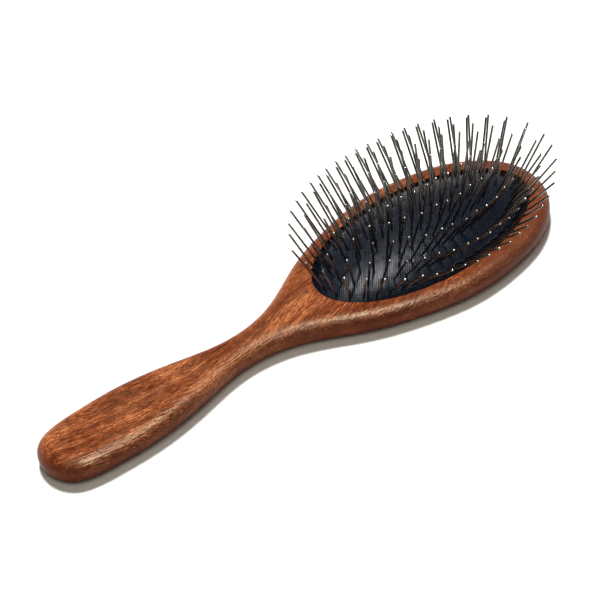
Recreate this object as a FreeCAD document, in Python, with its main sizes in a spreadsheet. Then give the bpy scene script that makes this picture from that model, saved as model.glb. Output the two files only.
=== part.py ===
import FreeCAD, Part
import math
import os
import Sketcher
from FreeCAD import Placement, Rotation, Vector

# Oval cushion pin brush: a one-piece wooden back, a domed rubber cushion faced with
# woven fabric, and straight steel pins that fan out of it.
# Frame: origin in the middle of the flat back of the head, +X towards the nose,
# +Y to the left, +Z out through the pins. Millimetres.

os.makedirs("parts", exist_ok=True)
doc = FreeCAD.newDocument("PinBrush")

# ---- driving dimensions -------------------------------------------------------------
sizes = [
    ("board_thickness", 9.5),
    ("top_round", 5.0),
    ("bottom_round", 4.2),
    ("cushion_long", 51.1),
    ("cushion_wide", 25.1),
    ("pocket_depth", 7.0),
    ("face_recess", 1.9),
    ("rubber_thickness", 1.5),
    ("fabric_thickness", 0.4),
    ("groove_reach", 2.0),
    ("flange_gap", 0.2),
    ("wall_gap", 0.1),
    ("dome_rise", 9.6),
    ("dome_fullness", 1.12),
    ("pin_exposed", 22.9),
    ("pin_buried", 2.2),
    ("pin_radius", 0.42),
    ("nail_head_radius", 1.1),
    ("nail_head_thickness", 0.5),
    ("hole_clearance", 0.08),
    ("lean_long", 0.38),
    ("lean_wide", 0.91),
    ("lean_long_rim", 0.22),
    ("lean_wide_rim", 0.43),
    ("lean_scatter", 0.04),
    ("drill_above", 3.0),
    ("drill_below", 5.0),
    ("sector_angle", 35.0),
]
# Half-width of the back at stations along its length: nose to butt.
outline_stations = [
    ("nose_tip", 58.8, 0.0),
    ("nose_corner", 55.4, 12.0),
    ("nose_shoulder", 48.4, 19.6),
    ("head_front", 36.4, 26.7),
    ("head_fore", 19.9, 31.0),
    ("head_middle", 0.0, 32.5),
    ("head_rear", -22.4, 28.9),
    ("head_base", -46.4, 20.9),
    ("throat", -71.0, 9.3),
    ("neck", -92.0, 6.5),
    ("grip_front", -117.4, 11.0),
    ("grip_middle", -140.0, 13.8),
    ("grip_rear", -154.0, 13.7),
    ("butt_side", -166.0, 12.7),
    ("butt_corner", -173.4, 9.9),
    ("butt_tip", -178.0, 0.0),
]
# How far off a level an edge may lie, and a cut volume from its sum.
level_tolerance = 1e-4
volume_tolerance = 0.02
# Successive pins lean off their fan line in directions one golden angle apart.
golden_turn = 137.5
golden_share = 0.618

# Oval rings of pins: how many, half-lengths, and where the first pin stands in its pitch.
rings = [
    ("outer", 47, 48.3, 21.9, 0.50),
    ("second", 41, 43.3, 18.4, 0.0),
    ("third", 34, 36.9, 13.9, 0.89),
    ("fourth", 26, 31.0, 8.9, 0.89),
    ("middle", 21, 25.6, 3.4, 0.86),
]

sheet = doc.addObject("Spreadsheet::Sheet", "Sizes")
rows = list(sizes)
for station, along, half in outline_stations:
    rows.append((station + "_along", along))
    rows.append((station + "_half", half))
for ring, count, half_long, half_wide, start in rings:
    rows.append((ring + "_ring_pins", count))
    rows.append((ring + "_ring_long", half_long))
    rows.append((ring + "_ring_wide", half_wide))
    rows.append((ring + "_ring_start", start))
for number, (alias, value) in enumerate(rows, start=1):
    sheet.set("A%d" % number, alias)
    sheet.set("B%d" % number, str(value))
    sheet.setAlias("B%d" % number, alias)
doc.recompute()


def size(alias):
    return float(sheet.get(alias))


def origin_plane(body, role):
    for feature in body.Origin.OriginFeatures:
        if feature.Role == role:
            return feature


def new_sketch(body, name, height_rule=None):
    sketch = body.newObject("Sketcher::SketchObject", name)
    sketch.AttachmentSupport = [(origin_plane(body, "XY_Plane"), "")]
    sketch.MapMode = "FlatFace"
    if height_rule:
        sketch.setExpression("AttachmentOffset.Base.z", height_rule)
    return sketch


def add_ellipse(sketch, long_rule, wide_rule, long_half, wide_half):
    """Centred ellipse whose two axes follow the sheet."""
    sketch.addGeometry(Part.Ellipse(Vector(0, 0, 0), long_half, wide_half))
    sketch.exposeInternalGeometry(0)
    sketch.addConstraint(Sketcher.Constraint("Coincident", 0, 3, -1, 1))
    sketch.addConstraint(Sketcher.Constraint("Horizontal", 1))
    long_axis = sketch.addConstraint(Sketcher.Constraint("Distance", 1, 2 * long_half))
    wide_axis = sketch.addConstraint(Sketcher.Constraint("Distance", 2, 2 * wide_half))
    sketch.setExpression("Constraints[%d]" % long_axis, long_rule)
    sketch.setExpression("Constraints[%d]" % wide_axis, wide_rule)


# ---- wooden back --------------------------------------------------------------------
def outline_curve():
    """Closed smooth outline through the stations, mirrored about the X axis."""
    left = [(size(n + "_along"), size(n + "_half")) for n, along, half in outline_stations]
    right = [(x, -y) for x, y in reversed(left[1:-1])]
    curve = Part.BSplineCurve()
    curve.interpolate([Vector(x, y, 0) for x, y in left + right], PeriodicFlag=True)
    return curve


def edges_at_height(shape, height):
    names = []
    for number, edge in enumerate(shape.Edges, start=1):
        box = edge.BoundBox
        if max(abs(box.ZMin - height), abs(box.ZMax - height)) < level_tolerance:
            names.append("Edge%d" % number)
    return names


def wooden_back():
    body = doc.addObject("PartDesign::Body", "WoodenBack")
    body.Label = "wooden_back"
    outline = new_sketch(body, "BackOutline")
    outline.addGeometry(outline_curve())
    outline.addConstraint(Sketcher.Constraint("Block", 0))
    board = body.newObject("PartDesign::Pad", "Board")
    board.Profile = outline
    board.setExpression("Length", "Sizes.board_thickness")
    doc.recompute()
    top_round = body.newObject("PartDesign::Fillet", "TopRound")
    top_round.Base = (board, edges_at_height(board.Shape, size("board_thickness")))
    top_round.setExpression("Radius", "Sizes.top_round")
    doc.recompute()
    bottom_round = body.newObject("PartDesign::Fillet", "BottomRound")
    bottom_round.Base = (top_round, edges_at_height(top_round.Shape, 0))
    bottom_round.setExpression("Radius", "Sizes.bottom_round")
    doc.recompute()
    long_half = size("cushion_long")
    wide_half = size("cushion_wide")
    mouth = new_sketch(body, "PocketOutline", "Sizes.board_thickness")
    add_ellipse(mouth, "2 * Sizes.cushion_long", "2 * Sizes.cushion_wide", long_half, wide_half)
    pocket = body.newObject("PartDesign::Pocket", "CushionPocket")
    pocket.Profile = mouth
    pocket.setExpression("Length", "Sizes.pocket_depth")
    # An undercut groove runs round the pocket wall and holds the cushion's rim.
    reach = size("groove_reach")
    lip = new_sketch(body, "GrooveOutline", "Sizes.board_thickness - Sizes.face_recess")
    add_ellipse(lip, "2 * Sizes.cushion_long + 2 * Sizes.groove_reach",
                "2 * Sizes.cushion_wide + 2 * Sizes.groove_reach",
                long_half + reach, wide_half + reach)
    groove = body.newObject("PartDesign::Pocket", "RimGroove")
    groove.Profile = lip
    groove.setExpression("Length", "Sizes.rubber_thickness + Sizes.fabric_thickness")
    body.Tip = groove
    doc.recompute()
    pocket_area = math.pi * long_half * wide_half
    groove_area = math.pi * (long_half + reach) * (wide_half + reach) - pocket_area
    sheet_depth = size("rubber_thickness") + size("fabric_thickness")
    check_volume("pocket", bottom_round.Shape.Volume - pocket.Shape.Volume,
                 pocket_area * size("pocket_depth"))
    check_volume("groove", pocket.Shape.Volume - groove.Shape.Volume,
                 groove_area * sheet_depth)
    return body


def check_volume(name, found, expected):
    print("%s volume %.0f mm3, expected %.0f mm3" % (name, found, expected))
    if abs(found - expected) > volume_tolerance * expected:
        raise RuntimeError(name + " did not cut what it should")


# ---- cushion ------------------------------------------------------------------------
def ellipse_prism(long_half, wide_half, low, high):
    wire = Part.Wire(Part.Ellipse(Vector(0, 0, low), long_half, wide_half).toShape())
    return Part.Face(wire).extrude(Vector(0, 0, high - low))


def dome(edge_height, long_half, wide_half, rise):
    """Cap of a sphere stretched to the cushion's ellipse, standing on edge_height."""
    fullness = size("dome_fullness")
    floor = math.sqrt(fullness ** 2 - 1)
    ball = Part.makeSphere(fullness)
    side = 2 * fullness
    above = Part.makeBox(side, side, side, Vector(-fullness, -fullness, floor))
    cap = ball.common(above)
    cap.translate(Vector(0, 0, -floor))
    stretch = FreeCAD.Matrix()
    stretch.scale(Vector(long_half, wide_half, rise / (fullness - floor)))
    cap = cap.transformGeometry(stretch)
    cap.translate(Vector(0, 0, edge_height))
    return cap


def dome_height(x, y):
    """Height of the fabric face above its edge at a point in plan."""
    fullness = size("dome_fullness")
    floor = math.sqrt(fullness ** 2 - 1)
    reach_squared = (x / size("cushion_long")) ** 2 + (y / size("cushion_wide")) ** 2
    part = math.sqrt(fullness ** 2 - reach_squared) - floor
    return size("dome_rise") * part / (fullness - floor)


def cushion_layer(name, label, top, thickness, holes):
    """One layer of the domed sheet with its flat rim, and a hole for every pin."""
    long_half = size("cushion_long") - size("wall_gap")
    wide_half = size("cushion_wide") - size("wall_gap")
    rim = size("groove_reach") - size("flange_gap") + size("wall_gap")
    rise = size("dome_rise")
    flat = ellipse_prism(long_half + rim, wide_half + rim, top - thickness, top)
    raised = flat.fuse(dome(top, long_half, wide_half, rise))
    layer = raised.cut(dome(top - thickness, long_half, wide_half, rise))
    layer = layer.cut(Part.makeCompound(holes))
    feature = doc.addObject("Part::Feature", name)
    feature.Label = label
    feature.Shape = layer.Solids[0]
    feature.Placement = Placement()
    return feature


# ---- pins ---------------------------------------------------------------------------
def pin_pattern():
    """One headed pin: a shaft with a rounded tip, and a flat head under the rubber."""
    body = doc.addObject("PartDesign::Body", "PinPattern")
    body.Label = "pin_pattern"
    radius = size("pin_radius")
    tip = size("pin_exposed")
    neck = -size("pin_buried")
    base = neck - size("nail_head_thickness")
    head = size("nail_head_radius")
    profile = body.newObject("Sketcher::SketchObject", "PinProfile")
    profile.AttachmentSupport = [(origin_plane(body, "XZ_Plane"), "")]
    profile.MapMode = "FlatFace"
    corners = [(0, tip), (0, base), (head, base), (head, neck), (radius, neck), (radius, tip - radius)]
    for start, end in zip(corners[:-1], corners[1:]):
        profile.addGeometry(Part.LineSegment(Vector(start[0], start[1], 0), Vector(end[0], end[1], 0)))
    quarter = Part.Circle(Vector(0, tip - radius, 0), Vector(0, 0, 1), radius)
    profile.addGeometry(Part.ArcOfCircle(quarter, 0, math.pi / 2))
    for line in range(len(corners) - 2):
        profile.addConstraint(Sketcher.Constraint("Coincident", line, 2, line + 1, 1))
    profile.addConstraint(Sketcher.Constraint("Coincident", 4, 2, 5, 1))
    profile.addConstraint(Sketcher.Constraint("Coincident", 5, 2, 0, 1))
    bindings = [
        (Sketcher.Constraint("DistanceX", -1, 1, 4, 2, radius), "Sizes.pin_radius"),
        (Sketcher.Constraint("DistanceX", -1, 1, 2, 1, head), "Sizes.nail_head_radius"),
        (Sketcher.Constraint("DistanceY", 3, 2, -1, 1, -neck), "Sizes.pin_buried"),
        (Sketcher.Constraint("DistanceY", 2, 1, 2, 2, neck - base), "Sizes.nail_head_thickness"),
        (Sketcher.Constraint("DistanceY", -1, 1, 0, 1, tip), "Sizes.pin_exposed"),
    ]
    for rule, source in bindings:
        index = profile.addConstraint(rule)
        profile.setExpression("Constraints[%d]" % index, source)
    turned = body.newObject("PartDesign::Revolution", "TurnedPin")
    turned.Profile = profile
    turned.ReferenceAxis = (profile, ["V_Axis"])
    turned.Angle = 360
    body.Tip = turned
    doc.recompute()
    return body


def ring_places(ring):
    """Evenly spaced points round one oval ring, as (x, y, angle of the ellipse)."""
    count = int(size(ring + "_ring_pins"))
    long_half = size(ring + "_ring_long")
    wide_half = size(ring + "_ring_wide")
    curve = Part.Ellipse(Vector(0, 0, 0), long_half, wide_half)
    pitch = curve.length() / count
    places = []
    for step in range(count):
        point = curve.value(curve.parameterAtDistance((step + size(ring + "_ring_start")) * pitch, 0))
        angle = math.degrees(math.atan2(point.y / wide_half, point.x / long_half))
        places.append((point.x, point.y, angle))
    return places


def sector_of(angle):
    limit = size("sector_angle")
    if abs(angle) < limit:
        return "nose"
    if abs(angle) > 180 - limit:
        return "handle"
    return "left" if angle > 0 else "right"


def pin_placement(x, y, number):
    """Stand a pin on the fabric face and lean it outwards, a little off true as in hand work."""
    face = size("board_thickness") - size("face_recess")
    foot = Vector(x, y, face + dome_height(x, y))
    turn = math.radians(number * golden_turn)
    stray = size("lean_scatter") * (number * golden_share % 1)
    along = x / size("cushion_long")
    across = y / size("cushion_wide")
    lean_x = size("lean_long") * along + size("lean_long_rim") * along ** 3
    lean_y = size("lean_wide") * across + size("lean_wide_rim") * across ** 3
    lean = Vector(lean_x + stray * math.cos(turn), lean_y + stray * math.sin(turn), 1)
    return Placement(foot, Rotation(Vector(0, 0, 1), lean))


def pin_groups():
    """Placements of all pins by group: four sectors of each ring, one middle ring."""
    groups = {}
    number = 0
    for ring, count, half_long, half_wide, start in rings:
        for x, y, angle in ring_places(ring):
            label = "pins_middle" if ring == "middle" else "pins_%s_%s" % (ring, sector_of(angle))
            groups.setdefault(label, []).append(pin_placement(x, y, number))
            number += 1
    return groups


def placed(shape, placement):
    copy = shape.copy()
    copy.Placement = placement.multiply(copy.Placement)
    return copy


def pin_holes(groups):
    """Cylinders for the holes that the shafts pass through."""
    radius = size("pin_radius") + size("hole_clearance")
    below = size("drill_below")
    drill = Part.makeCylinder(radius, size("drill_above") + below, Vector(0, 0, -below))
    return [placed(drill, place) for places in groups.values() for place in places]


# ---- assembly -----------------------------------------------------------------------
back = wooden_back()
pattern = pin_pattern()
groups = pin_groups()
holes = pin_holes(groups)
face_height = size("board_thickness") - size("face_recess")
fabric = cushion_layer("CushionFabric", "cushion_fabric", face_height,
                       size("fabric_thickness"), holes)
rubber = cushion_layer("RubberCushion", "rubber_cushion", face_height - size("fabric_thickness"),
                       size("rubber_thickness"), holes)
exported = [back, rubber, fabric]
pin_solid = pattern.Shape.Solids[0]
for label, places in groups.items():
    group = doc.addObject("Part::Feature", "".join(w.capitalize() for w in label.split("_")))
    group.Label = label
    group.Shape = Part.makeCompound([placed(pin_solid, place) for place in places])
    group.Placement = Placement()
    exported.append(group)
doc.recompute()

# ---- checks and export --------------------------------------------------------------
for item in doc.Objects:
    if "Invalid" in item.State or "Error" in item.State:
        raise RuntimeError("%s failed: %s" % (item.Label, item.State))
for item in exported:
    if item.Shape.isNull() or not item.Shape.isValid():
        raise RuntimeError(item.Label + " has no valid shape")
for item in exported:
    item.Shape.exportStep("parts/%s.step" % item.Label)
    box = item.Shape.BoundBox
    print("%-22s %3d solids %9.1f mm3  x %.1f..%.1f y %.1f..%.1f z %.1f..%.1f" % (
        item.Label, len(item.Shape.Solids), item.Shape.Volume,
        box.XMin, box.XMax, box.YMin, box.YMax, box.ZMin, box.ZMax))
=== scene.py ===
import math
import bmesh
import bpy
import numpy as np
from mathutils import Matrix, Vector


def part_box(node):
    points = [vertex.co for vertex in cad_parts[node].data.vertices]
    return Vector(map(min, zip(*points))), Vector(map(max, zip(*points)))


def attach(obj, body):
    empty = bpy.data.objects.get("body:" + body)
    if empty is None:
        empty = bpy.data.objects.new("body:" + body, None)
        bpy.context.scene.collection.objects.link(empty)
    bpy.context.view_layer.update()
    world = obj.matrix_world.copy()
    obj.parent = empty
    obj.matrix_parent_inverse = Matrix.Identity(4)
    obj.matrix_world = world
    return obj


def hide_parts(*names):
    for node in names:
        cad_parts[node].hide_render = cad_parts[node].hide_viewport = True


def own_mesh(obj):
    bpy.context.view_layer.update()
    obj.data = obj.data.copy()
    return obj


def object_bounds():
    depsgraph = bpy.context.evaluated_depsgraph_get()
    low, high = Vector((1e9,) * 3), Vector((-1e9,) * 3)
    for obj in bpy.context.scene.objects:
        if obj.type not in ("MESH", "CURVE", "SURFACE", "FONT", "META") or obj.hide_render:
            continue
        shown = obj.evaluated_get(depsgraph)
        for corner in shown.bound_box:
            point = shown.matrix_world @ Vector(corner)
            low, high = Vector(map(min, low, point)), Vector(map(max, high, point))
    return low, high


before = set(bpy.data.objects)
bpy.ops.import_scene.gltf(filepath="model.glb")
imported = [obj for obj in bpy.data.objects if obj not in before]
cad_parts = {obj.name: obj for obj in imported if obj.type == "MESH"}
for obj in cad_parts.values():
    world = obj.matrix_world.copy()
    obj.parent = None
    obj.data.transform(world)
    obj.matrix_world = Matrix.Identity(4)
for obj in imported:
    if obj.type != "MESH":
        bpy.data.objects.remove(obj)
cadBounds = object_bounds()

scene = bpy.context.scene
scene.view_settings.view_transform = "Standard"
mm = 0.001


# camera, floor and studio lights

cameraPlace = {
    "target": (-56.1 * mm, 5.8 * mm, 5.5 * mm),
    "azimuth": -42.04,
    "elevation": 41.8,
    "roll": 0.32,
    "distance": 0.958,
    "lens": 157.4,
}


def viewDirection(azimuth, elevation):
    a, e = math.radians(azimuth), math.radians(elevation)
    return Vector((math.sin(a) * math.cos(e), -math.cos(a) * math.cos(e), math.sin(e)))


def makeCamera(place):
    back = viewDirection(place["azimuth"], place["elevation"])
    right = Vector((0, 0, 1)).cross(back).normalized()
    up = back.cross(right)
    roll = math.radians(place["roll"])
    rightRolled = right * math.cos(roll) + up * math.sin(roll)
    upRolled = up * math.cos(roll) - right * math.sin(roll)
    data = bpy.data.cameras.new("studioCamera")
    data.lens = place["lens"]
    data.sensor_width = 36
    data.clip_start = 0.01
    data.clip_end = 20
    camera = bpy.data.objects.new("studioCamera", data)
    scene.collection.objects.link(camera)
    turn = Matrix((rightRolled, upRolled, back)).transposed().to_4x4()
    spot = Vector(place["target"]) + back * place["distance"]
    camera.matrix_world = Matrix.Translation(spot) @ turn
    scene.camera = camera


paper = {
    "halfSide": 3.0,
    "gapBelow": 0.02 * mm,
    "white": (0.93, 0.925, 0.905),
}


def makeFloor():
    half = paper["halfSide"]
    height = cadBounds[0].z - paper["gapBelow"]
    mesh = bpy.data.meshes.new("studioFloor")
    corners = [(-half, -half, height), (half, -half, height), (half, half, height), (-half, half, height)]
    mesh.from_pydata(corners, [], [(0, 1, 2, 3)])
    floor = bpy.data.objects.new("studioFloor", mesh)
    scene.collection.objects.link(floor)
    material = bpy.data.materials.new("paperSweep")
    material.use_nodes = True
    shader = material.node_tree.nodes["Principled BSDF"]
    shader.inputs["Base Color"].default_value = (*paper["white"], 1)
    shader.inputs["Roughness"].default_value = 0.9
    shader.inputs["Specular IOR Level"].default_value = 0.15
    mesh.materials.append(material)


# the key and the fill shape the light and shade; the two sheen lamps show only as reflections
lights = {
    "backKey": {"kind": "SUN", "azimuth": 152, "elevation": 60, "size": 0.214, "power": 5.3},
    "frontFill": {"azimuth": -60, "elevation": 62, "size": 0.8, "power": 2.7,
                  "colour": (1, 0.95, 0.80)},
    "woodSheen": {"azimuth": 28, "elevation": 71, "size": 0.60, "power": 85, "sheen": True},
    "clothSheen": {"azimuth": 130, "elevation": 83, "size": 0.15, "power": 17, "sheen": True},
}
lampDistance = 1.15
roomGlow = {"colour": (1, 0.96, 0.88), "strength": 0.07}
lamps = {}


def makeLights():
    for name, plan in lights.items():
        data = bpy.data.lights.new(name, plan.get("kind", "AREA"))
        if data.type == "SUN":
            data.angle = plan["size"]
        else:
            data.shape = "DISK"
            data.size = plan["size"]
        data.energy = plan["power"]
        data.color = plan.get("colour", (1, 1, 1))
        lamp = bpy.data.objects.new(name, data)
        lamp.visible_glossy = "sheen" in plan
        lamp.visible_diffuse = "sheen" not in plan
        scene.collection.objects.link(lamp)
        back = viewDirection(plan["azimuth"], plan["elevation"])
        lamp.location = back * lampDistance
        lamp.rotation_euler = back.to_track_quat("Z", "Y").to_euler()
        lamps[name] = lamp
    world = bpy.data.worlds.new("studioRoom")
    world.use_nodes = True
    background = world.node_tree.nodes["Background"]
    background.inputs["Color"].default_value = (*roomGlow["colour"], 1)
    background.inputs["Strength"].default_value = roomGlow["strength"]
    scene.world = world


def gather(name, pieces):
    group = bpy.data.collections.new(name)
    for piece in pieces:
        group.objects.link(piece)
    return group


makeCamera(cameraPlace)
makeFloor()
makeLights()
print("studio ready")


# node helpers

class Tree:
    def __init__(self, tree):
        self.tree = tree

    def add(self, kind, values=None, **settings):
        node = self.tree.nodes.new(kind)
        for key, value in settings.items():
            setattr(node, key, value)
        for key, value in (values or {}).items():
            self.put(node.inputs[key], value)
        return node

    def put(self, socket, value):
        if isinstance(value, bpy.types.NodeSocket):
            self.tree.links.new(value, socket)
        else:
            socket.default_value = value

    def math(self, operation, first, second=0.0, third=None):
        values = {0: first, 1: second}
        if third is not None:
            values[2] = third
        return self.add("ShaderNodeMath", values, operation=operation).outputs[0]

    def mix(self, factor, first, second, blend="MIX"):
        node = self.add("ShaderNodeMix", data_type="RGBA", blend_type=blend)
        self.put(node.inputs[0], factor)
        self.put(node.inputs[6], first)
        self.put(node.inputs[7], second)
        return node.outputs[2]

    def ramp(self, factor, stops):
        node = self.add("ShaderNodeValToRGB", {0: factor})
        elements = node.color_ramp.elements
        while len(elements) < len(stops):
            elements.new(0.5)
        for element, (place, colour) in zip(elements, stops):
            element.position = place
            element.color = (*colour, 1)
        return node.outputs[0]

    def between(self, value, low, high, outLow=0.0, outHigh=1.0):
        node = self.add("ShaderNodeMapRange", {0: value, 1: low, 2: high, 3: outLow, 4: outHigh})
        node.interpolation_type = "SMOOTHSTEP"
        return node.outputs[0]

    def noise(self, place, scale, detail, rough):
        node = self.add("ShaderNodeTexNoise", {"Vector": place, "Scale": scale,
                                               "Detail": detail, "Roughness": rough})
        return node.outputs["Fac"]

    def stretch(self, place, scale, shift=(0, 0, 0)):
        node = self.add("ShaderNodeMapping", {"Vector": place, "Scale": scale, "Location": shift})
        return node.outputs["Vector"]


def newGroup(name, inputs, outputs):
    group = bpy.data.node_groups.new(name, "ShaderNodeTree")
    for label, kind, default in inputs:
        socket = group.interface.new_socket(label, in_out="INPUT", socket_type=kind)
        if default is not None:
            socket.default_value = default
    for label, kind in outputs:
        group.interface.new_socket(label, in_out="OUTPUT", socket_type=kind)
    tree = Tree(group)
    return group, tree, tree.add("NodeGroupInput").outputs, tree.add("NodeGroupOutput").inputs


def newMaterial(name):
    material = bpy.data.materials.new(name)
    material.use_nodes = True
    tree = Tree(material.node_tree)
    shader = material.node_tree.nodes["Principled BSDF"]
    place = tree.add("ShaderNodeTexCoord").outputs["Object"]
    return material, tree, shader, place


def dress(node, material):
    node.data.materials.clear()
    node.data.materials.append(material)


# shared effects

def makeHandling():
    # soft patches and fine specks left by use: a mask of each, and a small height
    group, tree, given, out = newGroup(
        "handlingMarks",
        [("Vector", "NodeSocketVector", None), ("Patch Size", "NodeSocketFloat", 0.02),
         ("Speck Size", "NodeSocketFloat", 0.0006), ("Speck Amount", "NodeSocketFloat", 0.1)],
        [("Patches", "NodeSocketFloat"), ("Specks", "NodeSocketFloat"), ("Height", "NodeSocketFloat")])
    patchScale = tree.math("DIVIDE", 1.0, given["Patch Size"])
    speckScale = tree.math("DIVIDE", 1.0, given["Speck Size"])
    patches = tree.noise(given["Vector"], patchScale, 4.0, 0.6)
    grains = tree.noise(given["Vector"], speckScale, 1.0, 0.5)
    edge = tree.math("SUBTRACT", 0.8, tree.math("MULTIPLY", given["Speck Amount"], 0.4))
    specks = tree.between(grains, edge, tree.math("ADD", edge, 0.06))
    tree.put(out["Patches"], tree.between(patches, 0.35, 0.65))
    tree.put(out["Specks"], specks)
    tree.put(out["Height"], tree.math("ADD", tree.math("MULTIPLY", patches, 0.3), specks))
    return group


handling = makeHandling()


def addHandling(tree, place, patch, speck, amount):
    node = tree.add("ShaderNodeGroup", node_tree=handling)
    tree.put(node.inputs["Vector"], place)
    node.inputs["Patch Size"].default_value = patch
    node.inputs["Speck Size"].default_value = speck
    node.inputs["Speck Amount"].default_value = amount
    return node.outputs


# wooden back: oiled reddish hardwood, grain along the handle

wood = {
    "dark": (0.080, 0.015, 0.0045),
    "brown": (0.148, 0.034, 0.0105),
    "russet": (0.240, 0.063, 0.019),
    "gold": (0.465, 0.170, 0.067),
    # dark red of the painted shade on the sides and towards the nose, also used for the darker end grain
    "paintedShadeAndEndGrain": (0.090, 0.013, 0.005),
    "pore": (0.022, 0.004, 0.002),
    "handleSlope": 0.19,
    "headSlope": -0.43,
    "slopeStart": 105 * mm,
    "bandWidth": 3.6 * mm,
    "fleckLength": 4.2 * mm,
    "fleckWidth": 0.44 * mm,
    "streakLength": 11 * mm,
    "streakWidth": 0.62 * mm,
    "polishTint": (1.0, 0.76, 0.50),
    "poreLength": 2.2 * mm,
    "poreWidth": 0.26 * mm,
    "wander": 9.0 * mm,
    "bandShare": 0.30,
    "fleckShare": 0.46,
    "cloudShare": 0.24,
    "poreShare": 0.80,
    "wornShare": 0.08,
    # shares of the painted shade on the sides and towards the nose; the end grain share is partly its own
    # darker colour, partly painted shade
    "paintedSideShade": 0.54,
    "endGrainAndShadeShare": 0.36,
    "paintedNoseShade": 0.62,
    "noseShadeStart": -60 * mm,
    "noseShadeEnd": 55 * mm,
    "bumpHeight": 0.09 * mm,
    "specular": 0.13,
}


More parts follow.
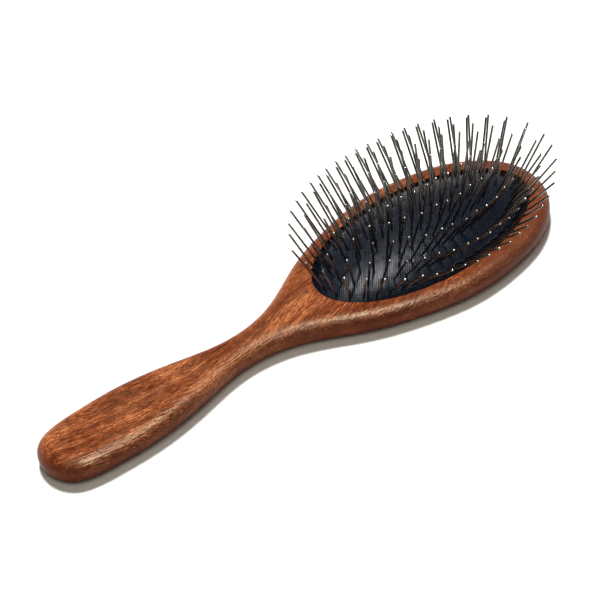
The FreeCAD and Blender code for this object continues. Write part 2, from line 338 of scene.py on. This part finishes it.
def makeWood():
    material, tree, shader, place = newMaterial("oiledHardwood")
    # the grain leans one way along the handle and the other way across the head, and wanders a little
    parts = tree.add("ShaderNodeSeparateXYZ", {0: place}).outputs
    past = tree.math("SMOOTH_MAX", tree.math("ADD", parts["X"], wood["slopeStart"]), 0.0, 40 * mm)
    slant = tree.math("ADD", tree.math("MULTIPLY", parts["X"], wood["handleSlope"]),
                      tree.math("MULTIPLY", past, wood["headSlope"]))
    wander = tree.noise(tree.stretch(place, (16, 45, 45)), 1.0, 2.0, 0.5)
    sway = tree.math("MULTIPLY", tree.math("SUBTRACT", wander, 0.5), wood["wander"])
    shift = tree.add("ShaderNodeCombineXYZ", {1: tree.math("ADD", sway, slant), 2: sway}).outputs[0]
    grain = tree.add("ShaderNodeVectorMath", {0: place, 1: shift}, operation="ADD").outputs[0]
    across = 1 / wood["bandWidth"]
    bands = tree.noise(tree.stretch(grain, (across * 0.05, across, across * 0.7)), 1.0, 2.0, 0.55)
    narrow = 1 / wood["fleckWidth"]
    flecks = tree.noise(tree.stretch(grain, (1 / wood["fleckLength"], narrow, narrow)), 1.0, 2.0, 0.6)
    fine = tree.noise(tree.stretch(grain, (420, 4200, 4200), (3, 1, 7)), 1.0, 2.0, 0.6)
    thin = 1 / wood["streakWidth"]
    streaks = tree.noise(tree.stretch(grain, (1 / wood["streakLength"], thin, thin), (4, 8, 2)),
                         1.0, 1.0, 0.5)
    grit = tree.noise(tree.stretch(grain, (800, 1500, 1500), (6, 3, 1)), 1.0, 1.0, 0.5)
    clouds = tree.noise(tree.stretch(place, (40, 110, 110), (9, 2, 4)), 1.0, 2.0, 0.55)
    tone = tree.math("ADD", tree.math("MULTIPLY", bands, wood["bandShare"]),
                     tree.math("MULTIPLY", flecks, wood["fleckShare"]))
    tone = tree.math("ADD", tone, tree.math("MULTIPLY", clouds, wood["cloudShare"]))
    colour = tree.ramp(tone, [(0.41, wood["dark"]), (0.47, wood["brown"]),
                              (0.53, wood["russet"]), (0.60, wood["gold"])])
    fineTone = tree.ramp(fine, [(0.35, (0.45, 0.40, 0.38)), (0.65, (1.35, 1.35, 1.35))])
    colour = tree.mix(1.0, colour, fineTone, "MULTIPLY")
    gritTone = tree.ramp(grit, [(0.38, (0.72, 0.68, 0.66)), (0.60, (1.12, 1.12, 1.12))])
    colour = tree.mix(1.0, colour, gritTone, "MULTIPLY")
    # painted shade: the rounded sides darker, and more and more towards the nose; the end grain darker
    # too, partly its own colour and partly painted shade
    normal = tree.add("ShaderNodeTexCoord").outputs["Normal"]
    turned = tree.add("ShaderNodeSeparateXYZ", {0: normal}).outputs
    endGrainAndShade = tree.between(tree.math("ABSOLUTE", turned["X"]), 0.20, 0.75)
    # painted shade on the sides, darker the less they face up; the second factor keeps the flat underside
    # out
    sideShade = tree.math("MULTIPLY", tree.between(turned["Z"], -0.1, 0.85, 1.0, 0.0),
                      tree.between(turned["Z"], -0.99, -0.80))
    paintedShadeAndEndGrain = tree.math("ADD", tree.math("MULTIPLY", sideShade, wood["paintedSideShade"]),
                       tree.math("MULTIPLY", endGrainAndShade, wood["endGrainAndShadeShare"]))
    # painted shade growing towards the nose, standing in for the shadow the pins would cast on the rim
    noseShade = tree.between(parts["X"], wood["noseShadeStart"], wood["noseShadeEnd"])
    paintedShadeAndEndGrain = tree.math("ADD", paintedShadeAndEndGrain, tree.math("MULTIPLY", noseShade, wood["paintedNoseShade"]))
    colour = tree.mix(paintedShadeAndEndGrain, colour, (*wood["paintedShadeAndEndGrain"], 1))
    # pores: short dark slits that follow the grain
    slits = tree.add("ShaderNodeTexVoronoi", {
        "Vector": tree.stretch(grain, (1 / wood["poreLength"], 0.4 / wood["poreWidth"],
                                       0.4 / wood["poreWidth"])),
        "Scale": 1.0, "Randomness": 1.0})
    slitMask = tree.between(slits.outputs["Distance"], 0.14, 0.30, 1.0, 0.0)
    thinned = tree.noise(tree.stretch(place, (160, 700, 700), (5, 5, 5)), 1.0, 1.0, 0.5)
    slitMask = tree.math("MULTIPLY", slitMask, tree.between(thinned, 0.36, 0.60))
    colour = tree.mix(tree.math("MULTIPLY", slitMask, wood["poreShare"]), colour, (*wood["pore"], 1))
    marks = addHandling(tree, place, 0.03, 0.0007, 0.05)
    worn = tree.math("MULTIPLY", marks["Patches"], wood["wornShare"])
    colour = tree.mix(worn, colour, (*wood["gold"], 1))
    tree.put(shader.inputs["Base Color"], colour)
    rough = tree.math("ADD", tree.math("MULTIPLY", fine, 0.16), 0.10)
    rough = tree.math("ADD", rough, tree.math("MULTIPLY", streaks, 0.20))
    rough = tree.math("ADD", rough, tree.math("MULTIPLY", slitMask, 0.25))
    rough = tree.math("ADD", rough, tree.math("MULTIPLY", marks["Patches"], 0.16))
    tree.put(shader.inputs["Roughness"], rough)
    height = tree.math("ADD", tree.math("MULTIPLY", fine, 0.3), tree.math("MULTIPLY", streaks, 2.2))
    height = tree.math("ADD", height, tree.math("MULTIPLY", flecks, 0.7))
    height = tree.math("SUBTRACT", height, tree.math("MULTIPLY", slitMask, 0.7))
    bump = tree.add("ShaderNodeBump", {"Height": height, "Strength": 1.0,
                                       "Distance": wood["bumpHeight"]})
    tree.put(shader.inputs["Normal"], bump.outputs[0])
    shader.inputs["Specular IOR Level"].default_value = wood["specular"]
    shader.inputs["Specular Tint"].default_value = (*wood["polishTint"], 1)
    return material


dress(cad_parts["wooden_back"], makeWood())
print("wooden back finished")


# cushion: rubber sheet and its woven facing, both domed

cushion = {
    "foldLine": 7.6 * mm,
    "dropWhenPressed": 4.0 * mm,
    "threadPitch": 0.82 * mm,
    "threadRelief": 0.045 * mm,
    "clothThickness": 0.36 * mm,
    "biasAngle": math.radians(48),
    "grooveRim": 1.8 * mm,
    "hiddenRim": 1.7 * mm,
    "dimpleDepth": 0.12 * mm,
    "dimpleReach": 1.1 * mm,
    "dimpleLimit": 4 * mm,
    "weaveEdge": 0.995,
    "cellsPerThread": 4,
    "fullness": 1.12,
}
# the search for a pin's foot: how far below its tip, and in what steps
footSearch = {"from": 19 * mm, "to": 26 * mm, "step": 0.05 * mm, "merge": 1e-6}
clothLow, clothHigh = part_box("cushion_fabric")
domeTop = clothHigh.z
domeRise = domeTop - cushion["foldLine"]
# the pocket's mouth is the cloth's box less the rim hidden in the groove
pocketLong = (clothHigh.x - clothLow.x) / 2 - cushion["grooveRim"]
pocketWide = (clothHigh.y - clothLow.y) / 2 - cushion["grooveRim"]


def domeHeight(x, y):
    full = cushion["fullness"]
    low = math.sqrt(full ** 2 - 1)
    reach = np.minimum((x / pocketLong) ** 2 + (y / pocketWide) ** 2, 1.0)
    return domeRise * (np.sqrt(full ** 2 - reach) - low) / (full - low)


def pinFeet():
    # where each pin stands on the cloth, found from the pins' own meshes
    feet = []
    for name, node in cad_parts.items():
        if not name.startswith("pins_"):
            continue
        bm = bmesh.new()
        bm.from_mesh(node.data)
        bmesh.ops.remove_doubles(bm, verts=bm.verts, dist=footSearch["merge"])
        seen = set()
        for start in bm.verts:
            if start in seen:
                continue
            island, edge = [start], 0
            seen.add(start)
            while edge < len(island):
                for link in island[edge].link_edges:
                    other = link.other_vert(island[edge])
                    if other not in seen:
                        seen.add(other)
                        island.append(other)
                edge += 1
            points = np.array([v.co for v in island])
            middle = points.mean(0)
            axis = np.linalg.svd(points - middle, full_matrices=False)[2][0]
            axis = axis if axis[2] > 0 else -axis
            tip = middle + axis * ((points - middle) @ axis).max()
            for step in np.arange(footSearch["from"], footSearch["to"], footSearch["step"]):
                foot = tip - axis * step
                if foot[2] - cushion["foldLine"] < domeHeight(foot[0], foot[1]):
                    break
            feet.append(foot)
        bm.free()
    return np.array(feet)


def weaveHeight(u, v, pitch):
    # a small round crown wherever warp and weft cross
    return np.abs(np.cos(math.pi * u / pitch) * np.cos(math.pi * v / pitch))


def makeCloth(feet):
    pitch = cushion["threadPitch"]
    cells = cushion["cellsPerThread"]
    step = pitch / cells
    turnCos, turnSin = math.cos(cushion["biasAngle"]), math.sin(cushion["biasAngle"])
    longReach = pocketLong + cushion["hiddenRim"]
    wideReach = pocketWide + cushion["hiddenRim"]
    reach = int(longReach / pitch) + 1

    def plan(u, v):
        return u * turnCos - v * turnSin, u * turnSin + v * turnCos

    def insideCut(u, v):
        x, y = plan(u, v)
        return (x / longReach) ** 2 + (y / wideReach) ** 2 < 1

    bm = bmesh.new()
    coarse = set()
    for i in range(-reach, reach):
        for j in range(-reach, reach):
            corners = [(i, j), (i + 1, j), (i, j + 1), (i + 1, j + 1)]
            if all(insideCut(a * pitch, b * pitch) for a, b in corners):
                coarse.add((i, j))
    ticks = np.arange(-reach * cells, reach * cells + 1) * step
    gridU, gridV = np.meshgrid(ticks, ticks, indexing="ij")
    gridX, gridY = plan(gridU, gridV)
    top = cushion["foldLine"] + domeHeight(gridX, gridY)
    for fx, fy, fz in feet:
        away = np.hypot(gridX - fx, gridY - fy)
        near = away < cushion["dimpleLimit"]
        top[near] -= cushion["dimpleDepth"] * np.exp(-(away[near] / cushion["dimpleReach"]) ** 2)
    inside = (gridX / pocketLong) ** 2 + (gridY / pocketWide) ** 2 < cushion["weaveEdge"]
    relief = cushion["threadRelief"] * (weaveHeight(gridU, gridV, pitch) - 1)
    top = top + np.where(inside, relief, -cushion["threadRelief"])
    topVerts, lowVerts = {}, {}

    def topVert(a, b):
        if (a, b) not in topVerts:
            topVerts[(a, b)] = bm.verts.new((gridX[a, b], gridY[a, b], top[a, b]))
        return topVerts[(a, b)]

    def lowVert(i, j):
        if (i, j) not in lowVerts:
            x, y = plan(i * pitch, j * pitch)
            z = cushion["foldLine"] + float(domeHeight(x, y)) - cushion["clothThickness"]
            lowVerts[(i, j)] = bm.verts.new((x, y, z))
        return lowVerts[(i, j)]

    # one coarse cell below for each block of fine cells above, joined by a wall round the edge
    for i, j in coarse:
        a0, b0 = (i + reach) * cells, (j + reach) * cells
        for a in range(a0, a0 + cells):
            for b in range(b0, b0 + cells):
                bm.faces.new((topVert(a, b), topVert(a + 1, b),
                              topVert(a + 1, b + 1), topVert(a, b + 1)))
        bm.faces.new((lowVert(i, j), lowVert(i, j + 1), lowVert(i + 1, j + 1), lowVert(i + 1, j)))
        steps = range(cells + 1)
        if (i - 1, j) not in coarse:
            bm.faces.new([topVert(a0, b0 + k) for k in steps]
                         + [lowVert(i, j + 1), lowVert(i, j)])
        if (i + 1, j) not in coarse:
            bm.faces.new([topVert(a0 + cells, b0 + cells - k) for k in steps]
                         + [lowVert(i + 1, j), lowVert(i + 1, j + 1)])
        if (i, j - 1) not in coarse:
            bm.faces.new([topVert(a0 + cells - k, b0) for k in steps]
                         + [lowVert(i, j), lowVert(i + 1, j)])
        if (i, j + 1) not in coarse:
            bm.faces.new([topVert(a0 + k, b0 + cells) for k in steps]
                         + [lowVert(i + 1, j + 1), lowVert(i, j + 1)])
    bmesh.ops.recalc_face_normals(bm, faces=bm.faces)
    for face in bm.faces:
        face.smooth = True
    mesh = bpy.data.meshes.new("wovenFacing")
    bm.to_mesh(mesh)
    bm.free()
    cloth = bpy.data.objects.new("wovenFacing", mesh)
    scene.collection.objects.link(cloth)
    return cloth


def makeRubber():
    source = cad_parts["rubber_cushion"]
    rubber = bpy.data.objects.new("rubberSheet", source.data.copy())
    scene.collection.objects.link(rubber)
    return rubber


weave = {
    # gap: painted shade between the threads
    "paintedGapShade": (0.0006, 0.0014, 0.0035),
    "thread": (0.0012, 0.0058, 0.0165),
    "lint": (0.035, 0.04, 0.045),
    "lintShare": 0.35,
    "bumpHeight": 0.04 * mm,
    "specular": 0.18,
}


def makeFacingCloth():
    material, tree, shader, place = newMaterial("blackFacingCloth")
    turned = tree.add("ShaderNodeVectorRotate", {"Vector": place, "Angle": -cushion["biasAngle"]},
                      rotation_type="Z_AXIS").outputs[0]
    parts = tree.add("ShaderNodeSeparateXYZ", {0: turned}).outputs
    turns = math.pi / cushion["threadPitch"]
    warp = tree.math("ABSOLUTE", tree.math("COSINE", tree.math("MULTIPLY", parts["X"], turns)))
    weft = tree.math("ABSOLUTE", tree.math("COSINE", tree.math("MULTIPLY", parts["Y"], turns)))
    crowns = tree.between(tree.math("MULTIPLY", warp, weft), 0.20, 0.75)
    # twist of the fibres in each thread
    twist = tree.noise(tree.stretch(turned, (5200, 9000, 5200)), 1.0, 2.0, 0.7)
    uneven = tree.noise(place, 420.0, 3.0, 0.6)
    marks = addHandling(tree, place, 0.012, 0.0005, 0.12)
    # painted shade in the gaps between threads: away from the crowns the colour turns to the dark gap
    # colour, with a random tone over the threads
    threadOverGapShade = tree.math("MULTIPLY", crowns, tree.between(uneven, 0.3, 0.7, 0.6, 1.0))
    colour = tree.mix(threadOverGapShade, (*weave["paintedGapShade"], 1), (*weave["thread"], 1))
    lint = tree.math("MULTIPLY", marks["Specks"], weave["lintShare"])
    colour = tree.mix(lint, colour, (*weave["lint"], 1))
    tree.put(shader.inputs["Base Color"], colour)
    rough = tree.math("ADD", tree.math("MULTIPLY", twist, 0.12), 0.10)
    rough = tree.math("ADD", rough, tree.math("MULTIPLY", marks["Patches"], 0.06))
    rough = tree.math("ADD", rough, tree.math("MULTIPLY", tree.math("SUBTRACT", 1.0, crowns), 0.26))
    tree.put(shader.inputs["Roughness"], rough)
    shader.inputs["Specular IOR Level"].default_value = weave["specular"]
    height = tree.math("ADD", tree.math("MULTIPLY", twist, 0.4), tree.math("MULTIPLY", crowns, 0.8))
    bump = tree.add("ShaderNodeBump", {"Height": height, "Strength": 0.4,
                                       "Distance": weave["bumpHeight"]})
    tree.put(shader.inputs["Normal"], bump.outputs[0])
    return material


rubberLook = {
    "black": (0.012, 0.012, 0.013),
    "worn": (0.024, 0.024, 0.026),
    "dust": (0.09, 0.09, 0.088),
    "bumpHeight": 0.04 * mm,
}


def makeRubberMaterial():
    material, tree, shader, place = newMaterial("blackRubber")
    marks = addHandling(tree, place, 0.015, 0.0004, 0.15)
    colour = tree.mix(marks["Patches"], (*rubberLook["black"], 1), (*rubberLook["worn"], 1))
    colour = tree.mix(tree.math("MULTIPLY", marks["Specks"], 0.4), colour, (*rubberLook["dust"], 1))
    tree.put(shader.inputs["Base Color"], colour)
    rough = tree.math("ADD", tree.math("MULTIPLY", marks["Patches"], 0.12), 0.55)
    tree.put(shader.inputs["Roughness"], rough)
    bump = tree.add("ShaderNodeBump", {"Height": marks["Height"], "Strength": 0.3,
                                       "Distance": rubberLook["bumpHeight"]})
    tree.put(shader.inputs["Normal"], bump.outputs[0])
    return material


feet = pinFeet()
print("pin feet found:", len(feet))
cloth = makeCloth(feet)
dress(cloth, makeFacingCloth())
rubber = makeRubber()
dress(rubber, makeRubberMaterial())
layers = [(cloth, "cushion_fabric", "cushion_fabric"), (rubber, "rubber_cushion", "rubber")]
for piece, node, slot in layers:
    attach(piece, "brush_back")
    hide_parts(node)
    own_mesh(piece)
print("cushion finished")


# pins: drawn steel wire

steel = {
    "bright": (0.23, 0.22, 0.20),
    "dull": (0.11, 0.10, 0.09),
    "drawMarks": (9000, 9000, 260),
    "bumpHeight": 0.01 * mm,
}


def makeSteel():
    material, tree, shader, place = newMaterial("drawnSteel")
    marks = addHandling(tree, place, 0.006, 0.0003, 0.2)
    colour = tree.mix(marks["Patches"], (*steel["dull"], 1), (*steel["bright"], 1))
    tree.put(shader.inputs["Base Color"], colour)
    shader.inputs["Metallic"].default_value = 1.0
    draw = tree.noise(tree.stretch(place, steel["drawMarks"]), 1.0, 2.0, 0.5)
    rough = tree.math("ADD", tree.math("MULTIPLY", draw, 0.14), 0.16)
    rough = tree.math("ADD", rough, tree.math("MULTIPLY", marks["Specks"], 0.15))
    tree.put(shader.inputs["Roughness"], rough)
    bump = tree.add("ShaderNodeBump", {"Height": draw, "Strength": 0.25,
                                       "Distance": steel["bumpHeight"]})
    tree.put(shader.inputs["Normal"], bump.outputs[0])
    return material


pinSteel = makeSteel()
pins = [node for name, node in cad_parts.items() if name.startswith("pins_")]
for pin in pins:
    dress(pin, pinSteel)

# each sheen lamp lights only its own pieces, and the pins are left out of the key's shading
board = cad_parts["wooden_back"]
lamps["woodSheen"].light_linking.receiver_collection = gather("woodSheenLights", [board, *pins])
lamps["clothSheen"].light_linking.receiver_collection = gather("clothSheenLights", [cloth, rubber, *pins])
lamps["backKey"].light_linking.blocker_collection = gather("keyShades", [board, cloth, rubber])
print("pins finished")
